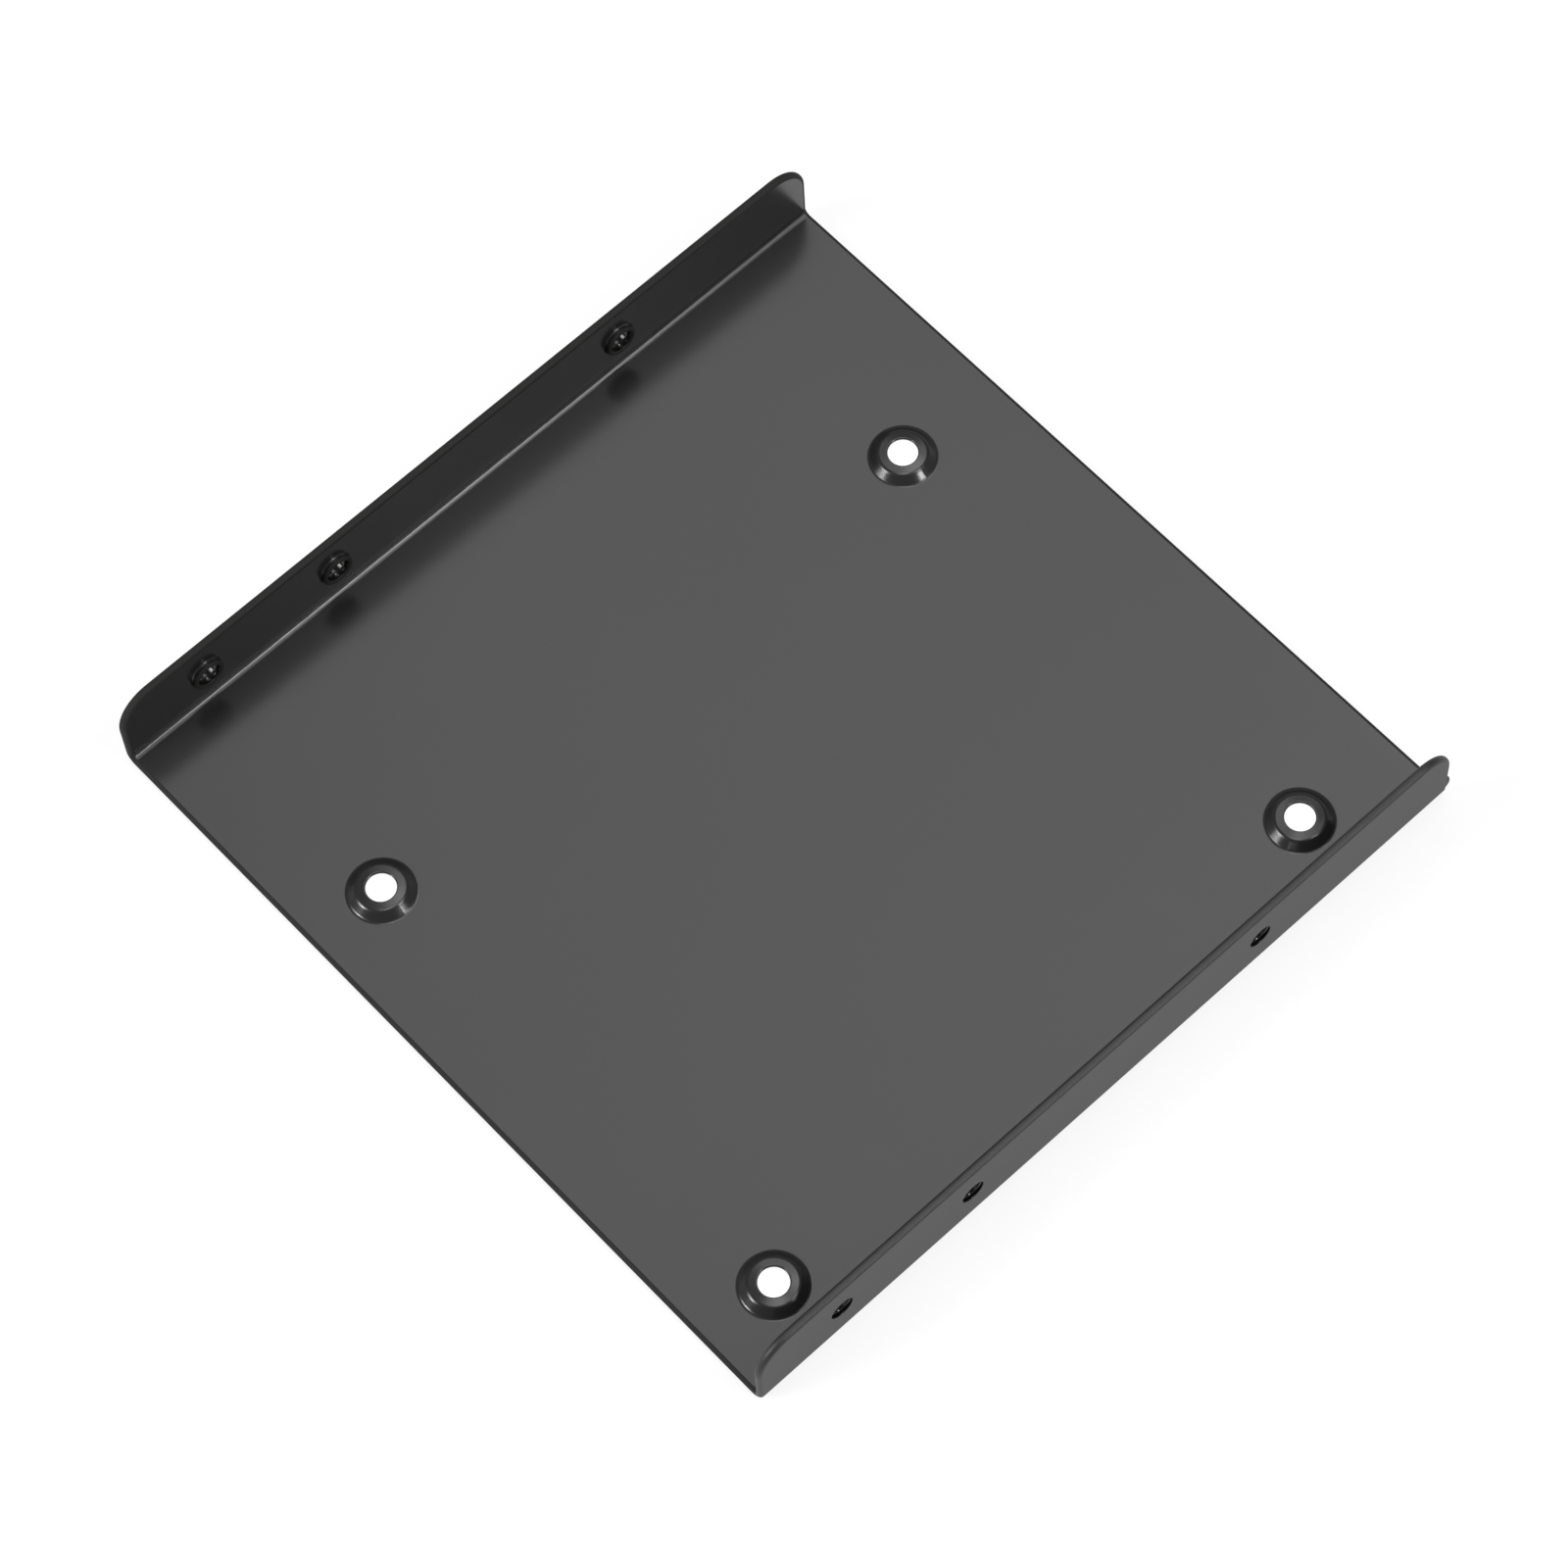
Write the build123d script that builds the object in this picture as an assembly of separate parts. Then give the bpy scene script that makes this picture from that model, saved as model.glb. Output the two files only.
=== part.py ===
from build123d import *
import os
from math import radians, tan

# Drive bay adapter bracket: one sheet of steel, folded into a shallow tray.
# The tray carries a small drive, and takes the width and the side screws of a larger one.
# Millimetres. X runs across the tray, Y along its flanges, Z up.
# Origin: centre of the footprint, on the underside of the floor.

# Sheet and tray
sheet = 1.0               # thickness of the steel
width = 101.6             # over both flanges, as the larger drive
length = 100.0            # along the flanges
height = 11.4             # underside of the floor to the top of a flange
bend_r = 0.6              # inside radius of the two folds
corner_r = 4.6            # free top corners of the flanges
edge_r = 0.45             # rounding of every cut edge, nearly half the sheet

# Raised bosses in the floor, on the bottom screws of the small drive.
# Each is dimpled up round a countersink, so that the screw's head lies inside the floor.
drive_pitch_x = 61.72     # across the tray
drive_pitch_y = 76.6      # along the tray
drive_side = 8.24         # right-hand bosses to the outside of the right flange
drive_front = 9.4         # front bosses to the front end of the floor
boss_rise = 1.1           # how far the metal is pressed up, at the edge of the hole
boss_foot_r = 3.8         # where the flank, drawn on straight, meets the floor
boss_top_r = 2.85         # where the flank, drawn on straight, meets the crown
boss_crown_slope = 9      # degrees; the crown rises on to the edge of the hole
boss_foot_fillet = 0.5
boss_top_fillet = 0.8
drive_hole_r = 1.7        # clearance for the small drive's screws
drive_hole_lip = 0.15
sink_angle = 90           # of the countersink in the underside
sink_depth = 1.8
sink_fillet = 0.8         # at the countersink's mouth

# Tapped side holes, three in each flange, on the side screws of the larger drive
side_hole_z = 6.35        # above the underside of the floor
side_front = 11.5         # front hole to the front end
side_span_long = 60.0     # front hole to back hole
side_span_short = 41.6    # middle hole to back hole
side_hole_r = 1.45        # bore that carries the thread
side_entry_r = 0.1        # rolled edge on the outside of the flange
collar_wall = 0.55        # metal drawn round the bore
collar_out = 0.75         # how far it stands past the inside of the flange
collar_fillet = 0.2       # round its foot
collar_lip = 0.24         # rounding of its end, inside and outside

# Plain sheet kept round a pressed shape, out to the disc that is let into the tray
disc_land = 0.2

# Swelling at the back end of the right-hand fold, where the metal was squeezed out
swell_r = 1.1
swell_out = 0.45          # past the end of the tray
swell_z = 2.75
swell_fillet = 0.35

front = -length / 2
back = length / 2
side = width / 2


def tray():
    """The folded sheet: floor, two folds and two flanges, with softened cut edges."""
    outer_r = bend_r + sheet
    section = {
        (-side, height): 0, (-side, 0): outer_r, (side, 0): outer_r, (side, height): 0,
        (side - sheet, height): 0, (side - sheet, sheet): bend_r,
        (sheet - side, sheet): bend_r, (sheet - side, height): 0,
    }
    with BuildPart() as folded:
        with BuildSketch(Plane.XZ.offset(front)):
            with BuildLine():
                FilletPolyline(*section, radius=section.values(), close=True)
            make_face()
        extrude(amount=length)
        fillet(folded.edges().filter_by(Axis.X).group_by(Axis.Z)[-1], radius=corner_r)
        across_sheet = folded.edges().filter_by(Axis.X).group_by(Edge.length)[0]
        fold_lines = folded.edges().filter_by(Axis.Y).filter_by(lambda line: line.center().Z < height)
        fillet(folded.edges() - across_sheet - fold_lines, radius=edge_r)
    return folded.part


def turned(profile):
    """A disc of sheet with a pressed shape, from a half section given as {point: corner radius}."""
    with BuildPart() as disc:
        with BuildSketch(Plane.XZ):
            with BuildLine():
                FilletPolyline(*profile, radius=profile.values(), close=True)
            make_face()
        revolve(axis=Axis.Z)
    return disc.part


def boss():
    """Pressed boss with its screw hole and, underneath, the countersink for the screw's head."""
    sink_mouth_r = drive_hole_r + sink_depth * tan(radians(sink_angle / 2))
    top = sheet + boss_rise
    shoulder = top - (boss_top_r - drive_hole_r) * tan(radians(boss_crown_slope))
    return turned({
        (boss_disc_r, sheet): 0, (boss_foot_r, sheet): boss_foot_fillet,
        (boss_top_r, shoulder): boss_top_fillet, (drive_hole_r, top): drive_hole_lip,
        (drive_hole_r, sink_depth): 0, (sink_mouth_r, 0): sink_fillet, (boss_disc_r, 0): 0,
    })


def collar():
    """Side hole drawn through the flange: Z = 0 is the outside, +Z points into the tray."""
    outside_r = side_hole_r + collar_wall
    end = sheet + collar_out
    return turned({
        (collar_disc_r, 0): 0, (side_hole_r, 0): side_entry_r,
        (side_hole_r, end): collar_lip, (outside_r, end): collar_lip,
        (outside_r, sheet): collar_fillet, (collar_disc_r, sheet): 0,
    })


def swell():
    """Rounded end of the right-hand fold, as thick as the sheet."""
    with BuildPart() as button:
        with Locations(Plane.YZ.offset(side - sheet / 2)):
            with Locations((back + swell_out - swell_r, swell_z)):
                Cylinder(swell_r, sheet)
        fillet(button.edges().filter_by(GeomType.CIRCLE), radius=swell_fillet)
    return button.part


boss_disc_r = boss_foot_r + boss_foot_fillet + disc_land
collar_disc_r = side_hole_r + collar_wall + collar_fillet + disc_land

drive_centre = Location((side - drive_side - drive_pitch_x / 2, front + drive_front + drive_pitch_y / 2, 0))
side_back = front + side_front + side_span_long
side_places = [front + side_front, side_back - side_span_short, side_back]

with BuildPart() as bracket:
    add(tray())
    with Locations(drive_centre):
        with GridLocations(drive_pitch_x, drive_pitch_y, 2, 2):
            Cylinder(boss_disc_r, sheet, align=(Align.CENTER, Align.CENTER, Align.MIN), mode=Mode.SUBTRACT)
            add(boss())
    for hand in (-1, 1):
        inward = Plane(origin=(hand * side, 0, side_hole_z), x_dir=(0, 1, 0), z_dir=(-hand, 0, 0))
        with Locations(*(inward.location * Location((along, 0, 0)) for along in side_places)):
            Cylinder(collar_disc_r, sheet, align=(Align.CENTER, Align.CENTER, Align.MIN), mode=Mode.SUBTRACT)
            add(collar())
    add(swell())

bracket.part.label = "bracket"
os.makedirs("parts", exist_ok=True)
export_step(bracket.part, "parts/bracket.step")
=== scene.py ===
import math

import bpy
from bpy.props import FloatProperty, FloatVectorProperty, PointerProperty
from mathutils import Matrix, Quaternion, Vector


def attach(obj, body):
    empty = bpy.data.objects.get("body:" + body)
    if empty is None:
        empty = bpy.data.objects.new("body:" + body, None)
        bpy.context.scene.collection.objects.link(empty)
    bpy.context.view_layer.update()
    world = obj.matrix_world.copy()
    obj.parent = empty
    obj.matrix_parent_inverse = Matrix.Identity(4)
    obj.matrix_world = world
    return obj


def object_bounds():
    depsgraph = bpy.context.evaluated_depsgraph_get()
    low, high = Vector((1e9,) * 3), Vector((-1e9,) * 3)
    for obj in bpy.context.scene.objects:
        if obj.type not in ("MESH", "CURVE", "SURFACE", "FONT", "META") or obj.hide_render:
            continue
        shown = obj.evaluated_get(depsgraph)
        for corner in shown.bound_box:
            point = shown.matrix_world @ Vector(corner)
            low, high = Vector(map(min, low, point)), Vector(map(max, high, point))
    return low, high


bl_info = {
    "name": "Drive bay adapter bracket",
    "version": (1, 0, 0),
    "blender": (4, 5, 0),
    "location": "View3D > Sidebar > Bracket",
    "description": "Finish, side-hole threads and stage for a folded steel drive bay adapter bracket",
    "category": "Object",
}

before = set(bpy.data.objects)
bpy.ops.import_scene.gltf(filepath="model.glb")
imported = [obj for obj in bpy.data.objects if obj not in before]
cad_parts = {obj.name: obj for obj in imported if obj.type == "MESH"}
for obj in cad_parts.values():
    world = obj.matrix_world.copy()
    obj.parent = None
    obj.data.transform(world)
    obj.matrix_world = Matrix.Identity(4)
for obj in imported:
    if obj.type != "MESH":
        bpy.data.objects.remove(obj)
cad_box = [list(corner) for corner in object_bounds()]

mm = 0.001
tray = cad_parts["bracket"]
half_width = cad_box[1][0]
half_length = -cad_box[0][1]
flange_height = cad_box[1][2]
edge_r = 0.45 * mm          # rounding of the sheet's cut edges
corner_r = 4.6 * mm         # free top corners of the flanges
side_hole_r = 1.46 * mm     # just past the wall of a side hole's bore
side_hole_z = 6.35 * mm     # the side holes' height above the floor's underside
side_places = [-38.5 * mm, -20.1 * mm, 21.5 * mm]   # and their places along the tray
collar_end_depth = 1.45 * mm       # from the outside of a flange to the rounded end of a collar
left_outside_depth = 0.1 * mm      # depth of the matte layer on the outside of the left flange
right_outside_depth = 0.95 * mm    # and of the right one, whose rim is coated as its outside is


# Settings that a user would change

class CoatSettings(bpy.types.PropertyGroup):
    """Satin black powder coat."""
    colour: FloatVectorProperty(
        name="Colour", description="Base colour of the coat", subtype="COLOR",
        size=3, min=0, max=1, default=(0.015, 0.015, 0.015))
    roughness: FloatProperty(
        name="Roughness", description="Middle of the coat's roughness", subtype="FACTOR",
        min=0, max=1, default=0.23)
    outside_roughness: FloatProperty(
        name="Outside roughness", description="Roughness on the outsides of the flanges",
        subtype="FACTOR", min=0, max=1, default=0.5)
    # Painted shade: a near-black, faintly brown base colour for the cut edges, the collar ends and the
    # insides of the side holes. The faint brown is the tone of cut steel. The extra darkness is painted
    # shade on the rims, the collar ends and down the holes.
    edge_and_bore_shade_colour: FloatVectorProperty(
        name="Edge colour", description="Base colour of the thin coat over cut edges",
        subtype="COLOR", size=3, min=0, max=1, default=(0.004, 0.0035, 0.003))
    edge_roughness: FloatProperty(
        name="Edge roughness", description="Roughness over cut edges", subtype="FACTOR",
        min=0, max=1, default=0.8)
    bore_roughness: FloatProperty(
        name="Bore roughness", description="Roughness inside the side holes", subtype="FACTOR",
        min=0, max=1, default=0.12)
    peel_size: FloatProperty(
        name="Peel size", description="Width of one ripple of the coat", subtype="DISTANCE",
        unit="LENGTH", min=0.0001, default=0.9 * mm)
    peel_height: FloatProperty(
        name="Peel height", description="Height of the ripples", subtype="DISTANCE",
        unit="LENGTH", min=0, precision=6, default=0.001 * mm)


class ThreadSettings(bpy.types.PropertyGroup):
    """Thread in the six side holes, for a No. 6-32 screw."""
    pitch: FloatProperty(
        name="Pitch", description="From one crest to the next", subtype="DISTANCE",
        unit="LENGTH", min=0.0001, precision=5, default=0.794 * mm)
    bore_radius: FloatProperty(
        name="Bore radius", description="Radius of the wall that the ridge stands on",
        subtype="DISTANCE", unit="LENGTH", min=0.0001, precision=5, default=1.45 * mm)
    ridge_height: FloatProperty(
        name="Ridge height", description="How far the crest stands inside the bore",
        subtype="DISTANCE", unit="LENGTH", min=0.00001, precision=5, default=0.2 * mm)
    outer_end: FloatProperty(
        name="Outer end", description="Distance from the flange's outside to the thread",
        subtype="DISTANCE", unit="LENGTH", min=0, precision=5, default=0.2 * mm)
    length: FloatProperty(
        name="Length", description="Of the threaded part of the bore", subtype="DISTANCE",
        unit="LENGTH", min=0.0001, precision=5, default=1.3 * mm)


class StageSettings(bpy.types.PropertyGroup):
    """Camera at the photograph's viewing angle."""
    azimuth: FloatProperty(
        name="Azimuth", description="Camera's bearing: 0 looks along +Y, 90 along -X",
        subtype="ANGLE", unit="ROTATION", default=math.radians(50.9475))
    elevation: FloatProperty(
        name="Elevation", description="Camera's height above the horizon",
        subtype="ANGLE", unit="ROTATION", default=math.radians(64.2163))
    roll: FloatProperty(
        name="Roll", description="Turn of the camera about its line of sight",
        subtype="ANGLE", unit="ROTATION", default=math.radians(-4.2012))
    distance: FloatProperty(
        name="Distance", description="Camera to the point on the floor that it is aimed at",
        subtype="DISTANCE", unit="LENGTH", default=582.15 * mm)
    aim: FloatVectorProperty(
        name="Aim", description="The point on the floor that the camera is aimed at",
        subtype="XYZ", unit="LENGTH", size=2, default=(0.87 * mm, -0.59 * mm))
    lens: FloatProperty(
        name="Focal length", description="Focal length in millimetres on a 36 mm sensor",
        min=1, default=123.975)


classes = [CoatSettings, ThreadSettings, StageSettings]

# Soft lamps: name, azimuth, elevation, width, height, radiance and lean, in degrees and metres.
# The tray's floor mirrors the first two, and the others give the glints on its bosses and folds.
lamps = [
    ("top_softbox", 223, 64, 0.6, 0.55, 2.0, 0),
    ("fill_softbox", 188, 74, 0.2, 0.5, 2.6, 0),
    ("front_softbox", -23, 33, 0.36, 0.5, 9.0, 0),
    ("front_lamp", -18, 30, 0.12, 0.12, 40.0, 0),
    ("right_softbox", 113, 45, 0.19, 0.97, 7.8, 20),
    ("right_lamp", 103, 24, 0.1, 0.1, 45.0, 0),
    ("overhead_softbox", 51, 84, 0.3, 0.3, 4.0, 0),
]


# Node building

def add_node(tree, kind, inputs=None, **settings):
    """A new node with its settings and the values or links of its inputs."""
    node = tree.nodes.new(kind)
    for name, value in settings.items():
        setattr(node, name, value)
    for name, value in (inputs or {}).items():
        socket = node.inputs[name]
        if isinstance(value, bpy.types.NodeSocket):
            tree.links.new(value, socket)
        else:
            socket.default_value = value
    return node


def new_material(name):
    """An empty node material."""
    material = bpy.data.materials.new(name)
    material.use_nodes = True
    material.node_tree.nodes.clear()
    return material


def calculate(tree, operation, *values):
    """The output of a Math node."""
    return add_node(tree, "ShaderNodeMath", dict(enumerate(values)), operation=operation).outputs[0]


def calculate_vector(tree, operation, *values):
    """The outputs of a Vector Math node."""
    return add_node(tree, "ShaderNodeVectorMath", dict(enumerate(values)), operation=operation).outputs


def cut_edges(tree, size):
    """1 on the sheet's sheared edges and on the ends of the side holes' collars, 0 elsewhere."""
    corner = (0, half_length - corner_r, flange_height - corner_r)
    past_corner = calculate_vector(tree, "SUBTRACT", size, corner)["Vector"]
    along = calculate_vector(tree, "MULTIPLY", past_corner, (0, 1, 1))["Vector"]
    ahead = calculate_vector(tree, "MAXIMUM", along, (0, 0, 0))["Vector"]
    reach = calculate_vector(tree, "LENGTH", ahead)["Value"]
    sheared = calculate(tree, "GREATER_THAN", reach, corner_r - edge_r)
    place = add_node(tree, "ShaderNodeSeparateXYZ", {"Vector": size})
    inside = calculate(tree, "LESS_THAN", place.outputs["X"], half_width - collar_end_depth)
    raised = calculate(tree, "GREATER_THAN", place.outputs["Z"], side_hole_z / 2)
    collar_end = calculate(tree, "MULTIPLY", inside, raised)
    return calculate(tree, "MAXIMUM", sheared, collar_end)


def bores(tree, place):
    """1 inside the six side holes, 0 elsewhere."""
    nearest = 1.0
    for along in side_places:
        away = calculate_vector(tree, "SUBTRACT", place, (0, along, side_hole_z))["Vector"]
        across_hole = calculate_vector(tree, "MULTIPLY", away, (0, 1, 1))["Vector"]
        nearest = calculate(tree, "MINIMUM", calculate_vector(tree, "LENGTH", across_hole)["Value"], nearest)
    return calculate(tree, "LESS_THAN", nearest, side_hole_r)


def powder_coat(look):
    """Satin black powder coat, with the fine ripples that such a coat flows out to."""
    patch_size = 25 * mm       # of the slow changes in tone and gloss
    tone_spread = 0.1          # share by which the colour changes
    roughness_spread = 0.04
    material = new_material("satin_black_powder_coat")
    tree = material.node_tree
    place = add_node(tree, "ShaderNodeTexCoord").outputs["Object"]
    size = calculate_vector(tree, "ABSOLUTE", place)["Vector"]

    across = add_node(tree, "ShaderNodeSeparateXYZ", {"Vector": place}).outputs["X"]
    left_outside = calculate(tree, "LESS_THAN", across, left_outside_depth - half_width)
    right_flange = calculate(tree, "GREATER_THAN", across, half_width - right_outside_depth)
    outside = calculate(tree, "MAXIMUM", left_outside, right_flange)
    edge = calculate(tree, "SUBTRACT", cut_edges(tree, size), right_flange)
    edge = calculate(tree, "MAXIMUM", edge, 0.0)
    bore = bores(tree, place)

    peel = add_node(tree, "ShaderNodeTexNoise", {
        "Vector": place, "Scale": 1 / look.peel_size, "Detail": 2.0})
    bump = add_node(tree, "ShaderNodeBump", {
        "Height": peel.outputs["Fac"], "Strength": 1.0, "Distance": look.peel_height})
    patches = add_node(tree, "ShaderNodeTexNoise", {
        "Vector": place, "Scale": 1 / patch_size, "Detail": 3.0}).outputs["Fac"]

    roughness = add_node(tree, "ShaderNodeMapRange", {
        "Value": patches, "To Min": look.roughness - roughness_spread,
        "To Max": look.roughness + roughness_spread}).outputs["Result"]
    for mask, value in (
            (outside, look.outside_roughness), (edge, look.edge_roughness), (bore, look.bore_roughness)):
        roughness = add_node(tree, "ShaderNodeMix", {
            "Factor": mask, "A": roughness, "B": value}).outputs["Result"]

    face_colour = add_node(tree, "ShaderNodeMix", {
        "Factor": patches,
        "A": (*[(1 - tone_spread) * c for c in look.colour], 1),
        "B": (*[(1 + tone_spread) * c for c in look.colour], 1)}, data_type="RGBA")
    # Painted shade: cut edges, collar ends and the insides of the side holes take the darker edge colour,
    # which darkens the rims and the holes.
    colour = add_node(tree, "ShaderNodeMix", {
        "Factor": calculate(tree, "MAXIMUM", edge, bore), "A": face_colour.outputs["Result"],
        "B": (*look.edge_and_bore_shade_colour, 1)}, data_type="RGBA")
    shader = add_node(tree, "ShaderNodeBsdfPrincipled", {
        "Base Color": colour.outputs["Result"], "Roughness": roughness,
        "Normal": bump.outputs["Normal"], "IOR": 1.5})
    add_node(tree, "ShaderNodeOutputMaterial", {"Surface": shader.outputs["BSDF"]})
    return material


class BRACKET_OT_coat(bpy.types.Operator):
    """Give the folded tray its powder coat"""
    bl_idname = "bracket.coat"
    bl_label = "Powder coat"

    def execute(self, context):
        coat = powder_coat(context.scene.bracket_coat)
        for slot in tray.material_slots:
            slot.material = coat
        return {"FINISHED"}


def thread_group():
    """Geometry Nodes: a ridge inside each hole, one for each point of the incoming mesh.
    The helix is reversed to make the thread right-handed."""
    full_reach = 0.38     # share of the ridge's length, each way from its middle, at full height
    end_scale = 0.3       # share of the height that is left at its ends
    tree = bpy.data.node_groups.new("side_hole_threads", "GeometryNodeTree")
    tree.interface.new_socket("Holes", in_out="INPUT", socket_type="NodeSocketGeometry")
    for name in ("Pitch", "Bore radius", "Ridge height", "Length"):
        tree.interface.new_socket(name, in_out="INPUT", socket_type="NodeSocketFloat")
    tree.interface.new_socket("Material", in_out="INPUT", socket_type="NodeSocketMaterial")
    tree.interface.new_socket("Threads", in_out="OUTPUT", socket_type="NodeSocketGeometry")
    given = add_node(tree, "NodeGroupInput").outputs

    turns = calculate(tree, "DIVIDE", given["Length"], given["Pitch"])
    helix = add_node(tree, "GeometryNodeCurveSpiral", {
        "Resolution": 64, "Rotations": turns, "Start Radius": given["Bore radius"],
        "End Radius": given["Bore radius"], "Height": given["Length"], "Reverse": True})
    upright = add_node(tree, "GeometryNodeSetCurveNormal", {"Curve": helix.outputs["Curve"]})
    profile = add_node(tree, "GeometryNodeCurvePrimitiveCircle", {
        "Resolution": 8, "Radius": given["Ridge height"]})
    along = add_node(tree, "GeometryNodeSplineParameter").outputs["Factor"]
    off_middle = calculate(tree, "ABSOLUTE", calculate(tree, "SUBTRACT", along, 0.5))
    fade = add_node(tree, "ShaderNodeMapRange", {
        "Value": off_middle, "From Min": full_reach, "From Max": 0.5, "To Min": 1.0, "To Max": end_scale})
    ridge = add_node(tree, "GeometryNodeCurveToMesh", {
        "Curve": upright.outputs["Curve"], "Profile Curve": profile.outputs["Curve"],
        "Scale": fade.outputs["Result"], "Fill Caps": True})

    side = add_node(tree, "ShaderNodeSeparateXYZ", {
        "Vector": add_node(tree, "GeometryNodeInputPosition").outputs["Position"]}).outputs["X"]
    tilt = calculate(tree, "MULTIPLY", calculate(tree, "SIGN", side), -math.pi / 2)
    inward = add_node(tree, "ShaderNodeCombineXYZ", {"Y": tilt})
    placed = add_node(tree, "GeometryNodeInstanceOnPoints", {
        "Points": given["Holes"], "Instance": ridge.outputs["Mesh"], "Rotation": inward.outputs["Vector"]})
    real = add_node(tree, "GeometryNodeRealizeInstances", {"Geometry": placed.outputs["Instances"]})
    smooth = add_node(tree, "GeometryNodeSetShadeSmooth", {"Geometry": real.outputs["Geometry"]})
    coated = add_node(tree, "GeometryNodeSetMaterial", {
        "Geometry": smooth.outputs["Geometry"], "Material": given["Material"]})
    add_node(tree, "NodeGroupOutput", {"Threads": coated.outputs["Geometry"]})
    return tree


def node_mesh(name, start, group, values):
    """The mesh that a node group makes of a start mesh, with the group's inputs given by name."""
    maker = bpy.data.objects.new(name, start)
    bpy.context.scene.collection.objects.link(maker)
    modifier = maker.modifiers.new(group.name, "NODES")
    modifier.node_group = group
    for item in group.interface.items_tree:
        if item.in_out == "INPUT" and item.name in values:
            modifier[item.identifier] = values[item.name]
    made = bpy.data.meshes.new_from_object(maker.evaluated_get(bpy.context.evaluated_depsgraph_get()))
    maker.modifiers.clear()
    maker.data = made
    return maker


class BRACKET_OT_threads(bpy.types.Operator):
    """Wind a thread into each of the six side holes"""
    bl_idname = "bracket.threads"
    bl_label = "Side-hole threads"

    def execute(self, context):
        look = context.scene.bracket_threads
        outer_end = half_width - look.outer_end
        starts = [(hand * outer_end, along, side_hole_z) for hand in (-1, 1) for along in side_places]
        holes = bpy.data.meshes.new("side_holes")
        holes.from_pydata(starts, [], [])
        threads = node_mesh("side_hole_threads", holes, thread_group(), {
            "Pitch": look.pitch, "Bore radius": look.bore_radius, "Ridge height": look.ridge_height,
            "Length": look.length, "Material": tray.material_slots[0].material})
        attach(threads, "root")
        return {"FINISHED"}


def bearing(azimuth, elevation):
    """Unit vector from the tray towards a camera or lamp."""
    return Vector((
        math.sin(azimuth) * math.cos(elevation),
        -math.cos(azimuth) * math.cos(elevation),
        math.sin(elevation)))


def add_camera(look):
    """The camera at the photograph's viewing angle."""
    back = bearing(look.azimuth, look.elevation)
    level = Vector((math.cos(look.azimuth), math.sin(look.azimuth), 0))
    axes = Matrix((level, back.cross(level), back)).transposed()
    data = bpy.data.cameras.new("photo_camera")
    data.lens = look.lens
    data.sensor_width = 36.0
    camera = bpy.data.objects.new("photo_camera", data)
    camera.matrix_world = (
        Matrix.Translation(Vector((*look.aim, 0)) + back * look.distance)
        @ axes.to_4x4() @ Matrix.Rotation(look.roll, 4, "Z"))
    bpy.context.scene.collection.objects.link(camera)
    bpy.context.scene.camera = camera


def add_softbox(name, azimuth, elevation, width, height, radiance, lean):
    """A soft lamp, 1 m away and aimed at the tray, on bearings as the camera's.
    Its upper end leans towards higher azimuths."""
    data = bpy.data.lights.new(name, "AREA")
    data.shape = "RECTANGLE"
    data.size = width
    data.size_y = height
    data.energy = radiance * math.pi * width * height
    lamp = bpy.data.objects.new(name, data)
    back = bearing(math.radians(azimuth), math.radians(elevation))
    lamp.location = back
    lamp.rotation_mode = "QUATERNION"
    upright = back.to_track_quat("Z", "Y")
    lamp.rotation_quaternion = upright @ Quaternion((0, 0, 1), math.radians(-lean))
    bpy.context.scene.collection.objects.link(lamp)


def seen_mask(tree):
    """1 for rays from the camera, a gloss or a glass."""
    path = add_node(tree, "ShaderNodeLightPath").outputs
    camera_or_gloss = calculate(tree, "MAXIMUM", path["Is Camera Ray"], path["Is Glossy Ray"])
    return calculate(tree, "MAXIMUM", camera_or_gloss, path["Is Transmission Ray"])


def add_world():
    """A dim room that is pale where it meets the floor."""
    wall_foot = 0.3            # brightness of the walls at the floor
    ceiling = 0.2              # and overhead
    ceiling_rise = 0.45        # sine of the angle above the horizon where the ceiling starts
    skirting_glow = 0.6        # more brightness in a low band along the floor
    skirting_rise = 0.04       # sine of the angle where that band ends
    world = bpy.data.worlds.new("studio_room")
    world.use_nodes = True
    tree = world.node_tree
    tree.nodes.clear()
    direction = add_node(tree, "ShaderNodeTexCoord").outputs["Generated"]
    rise = add_node(tree, "ShaderNodeSeparateXYZ", {"Vector": direction}).outputs["Z"]
    walls = add_node(tree, "ShaderNodeMapRange", {
        "Value": rise, "From Min": 0.0, "From Max": ceiling_rise, "To Min": wall_foot, "To Max": ceiling},
        interpolation_type="SMOOTHSTEP")
    skirting = add_node(tree, "ShaderNodeMapRange", {
        "Value": rise, "From Min": 0.0, "From Max": skirting_rise, "To Min": skirting_glow, "To Max": 0.0},
        interpolation_type="SMOOTHSTEP")
    brightness = calculate(tree, "ADD", walls.outputs["Result"], skirting.outputs["Result"])
    light = add_node(tree, "ShaderNodeBackground", {"Color": (1, 1, 1, 1), "Strength": brightness})
    add_node(tree, "ShaderNodeOutputWorld", {"Surface": light.outputs["Background"]})
    bpy.context.scene.world = world


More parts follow.
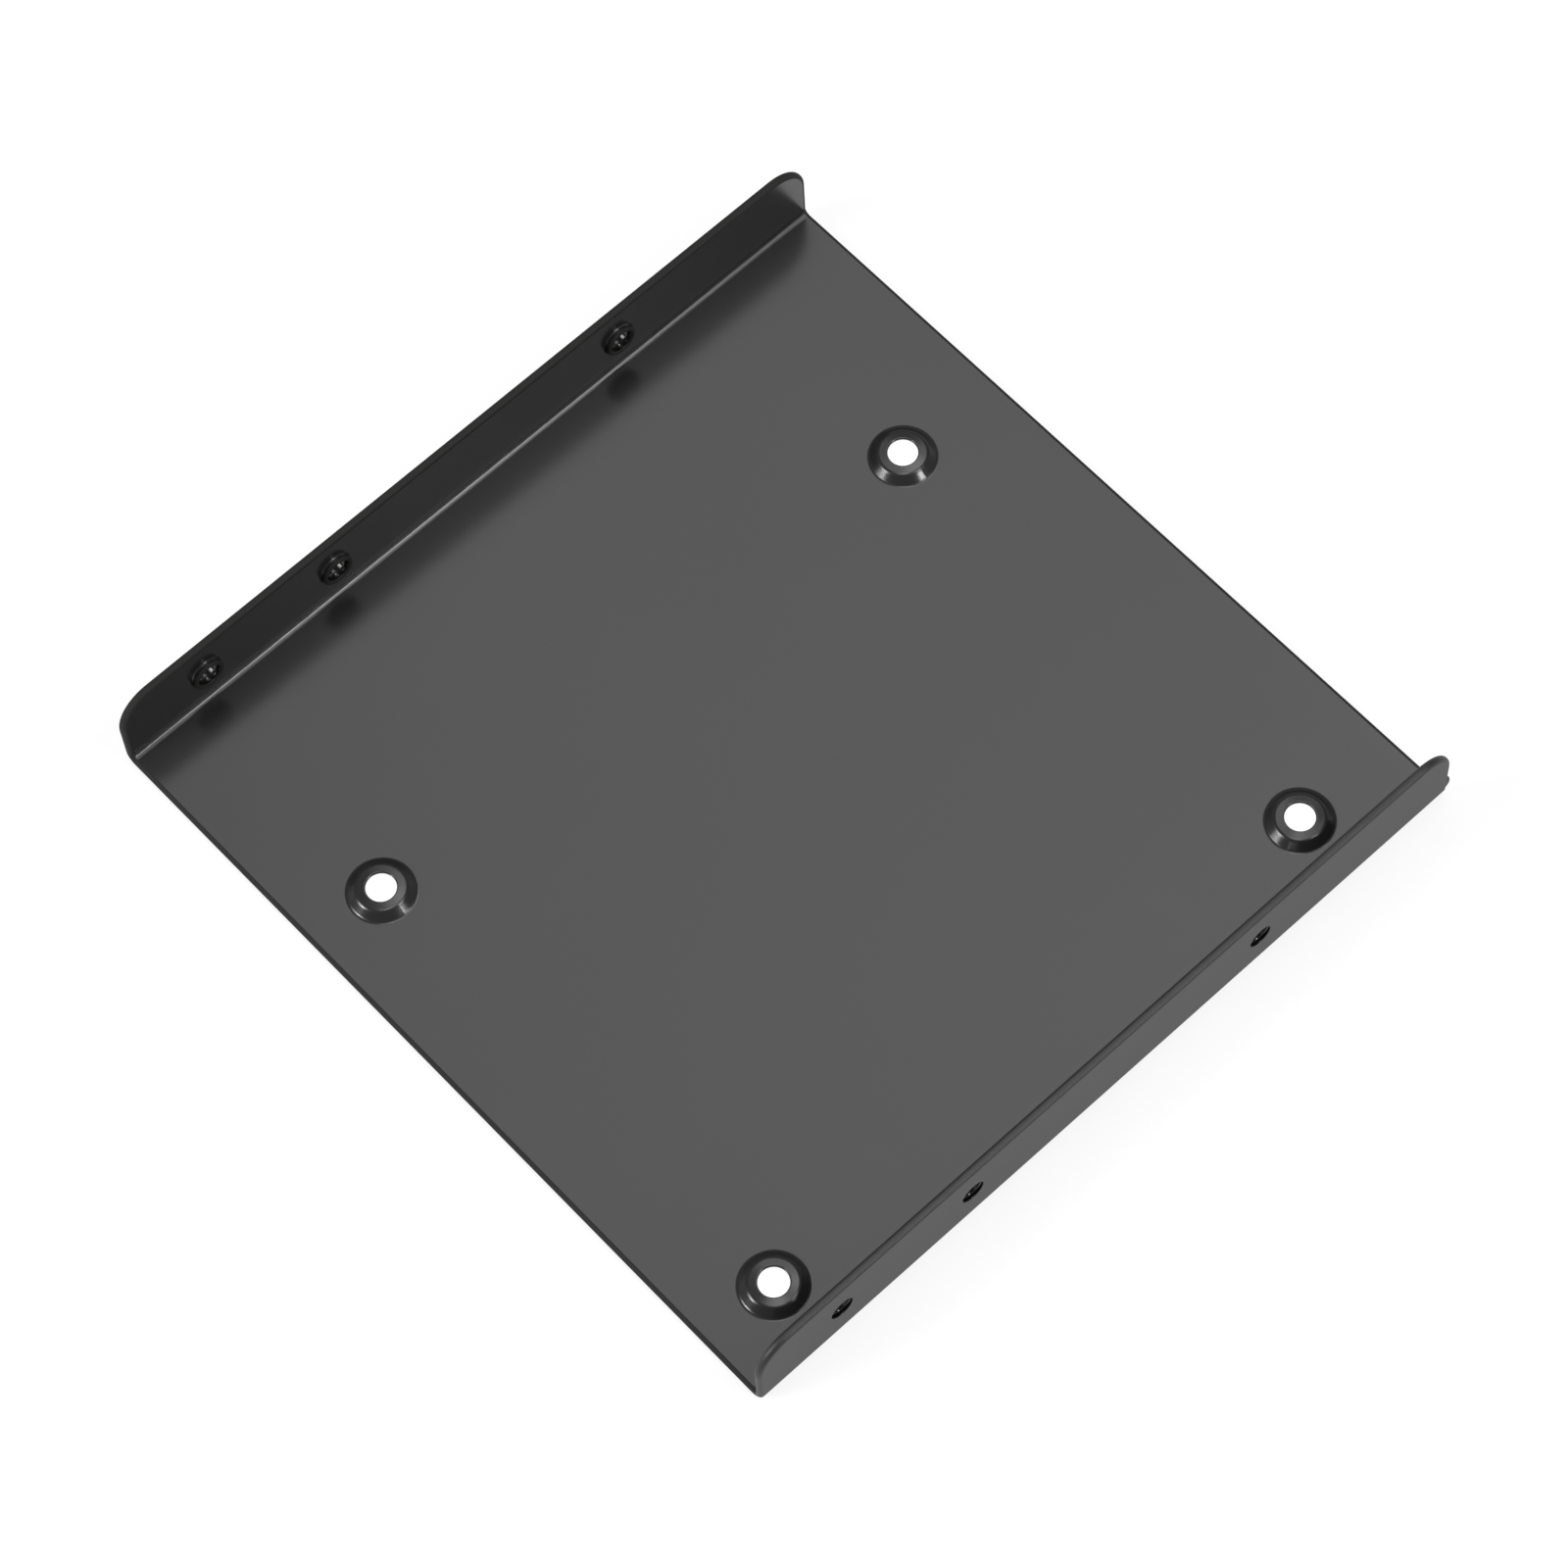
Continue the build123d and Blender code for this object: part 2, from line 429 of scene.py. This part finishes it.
def white_floor():
    """White that keeps the tray's shadow, glows under it as a light table does, and is clear from below,
    so that the tray's underside can be looked at."""
    whiteness = 0.17           # of the floor itself, which carries the shadow
    open_glow = 0.83           # added to it as seen round the tray
    covered_glow = 1.0         # and as seen through the tray's holes
    inset = 3 * mm             # from the tray's outline to the covered part
    material = new_material("white_floor")
    tree = material.node_tree
    place = add_node(tree, "ShaderNodeSeparateXYZ", {
        "Vector": add_node(tree, "ShaderNodeTexCoord").outputs["Object"]})
    covered = 1.0
    for axis, reach in (("X", half_width), ("Y", cad_box[1][1])):
        away = calculate(tree, "ABSOLUTE", place.outputs[axis])
        covered = calculate(tree, "MULTIPLY", calculate(tree, "LESS_THAN", away, reach - inset), covered)
    glow = add_node(tree, "ShaderNodeMapRange", {
        "Value": covered, "To Min": open_glow, "To Max": covered_glow}).outputs["Result"]
    seen_glow = calculate(tree, "MULTIPLY", glow, seen_mask(tree))
    shader = add_node(tree, "ShaderNodeBsdfPrincipled", {
        "Base Color": (whiteness, whiteness, whiteness, 1), "Roughness": 1.0, "Specular IOR Level": 0.0,
        "Emission Color": (1, 1, 1, 1), "Emission Strength": seen_glow})
    clear = add_node(tree, "ShaderNodeBsdfTransparent")
    from_below = add_node(tree, "ShaderNodeNewGeometry").outputs["Backfacing"]
    surface = add_node(tree, "ShaderNodeMixShader", {
        "Fac": from_below, 1: shader.outputs["BSDF"], 2: clear.outputs["BSDF"]})
    add_node(tree, "ShaderNodeOutputMaterial", {"Surface": surface.outputs["Shader"]})
    return material


def add_floor():
    """A plain floor, wide enough to reach the horizon and a hair below the tray."""
    reach = 30.0
    level = -0.05 * mm
    corners = [(x * reach, y * reach, level) for x, y in ((-1, -1), (1, -1), (1, 1), (-1, 1))]
    mesh = bpy.data.meshes.new("floor")
    mesh.from_pydata(corners, [], [(0, 1, 2, 3)])
    mesh.materials.append(white_floor())
    floor = bpy.data.objects.new("floor", mesh)
    bpy.context.scene.collection.objects.link(floor)


class BRACKET_OT_stage(bpy.types.Operator):
    """Set up the camera, the soft lamps, the room and the white floor"""
    bl_idname = "bracket.stage"
    bl_label = "Stage"

    def execute(self, context):
        context.scene.view_settings.view_transform = "Standard"
        add_camera(context.scene.bracket_stage)
        add_world()
        add_floor()
        for lamp in lamps:
            add_softbox(*lamp)
        return {"FINISHED"}


class BRACKET_PT_panel(bpy.types.Panel):
    """Everything that this file makes"""
    bl_label = "Bracket"
    bl_space_type = "VIEW_3D"
    bl_region_type = "UI"
    bl_category = "Bracket"

    def draw(self, context):
        for operator in (BRACKET_OT_coat, BRACKET_OT_threads, BRACKET_OT_stage):
            self.layout.operator(operator.bl_idname)


classes += [BRACKET_OT_coat, BRACKET_OT_threads, BRACKET_OT_stage, BRACKET_PT_panel]


def register():
    for cls in classes:
        bpy.utils.register_class(cls)
    bpy.types.Scene.bracket_coat = PointerProperty(type=CoatSettings)
    bpy.types.Scene.bracket_threads = PointerProperty(type=ThreadSettings)
    bpy.types.Scene.bracket_stage = PointerProperty(type=StageSettings)


def unregister():
    del bpy.types.Scene.bracket_stage
    del bpy.types.Scene.bracket_threads
    del bpy.types.Scene.bracket_coat
    for cls in reversed(classes):
        bpy.utils.unregister_class(cls)


def main():
    register()
    bpy.ops.bracket.coat()
    bpy.ops.bracket.threads()
    bpy.ops.bracket.stage()


if __name__ == "__main__":
    main()
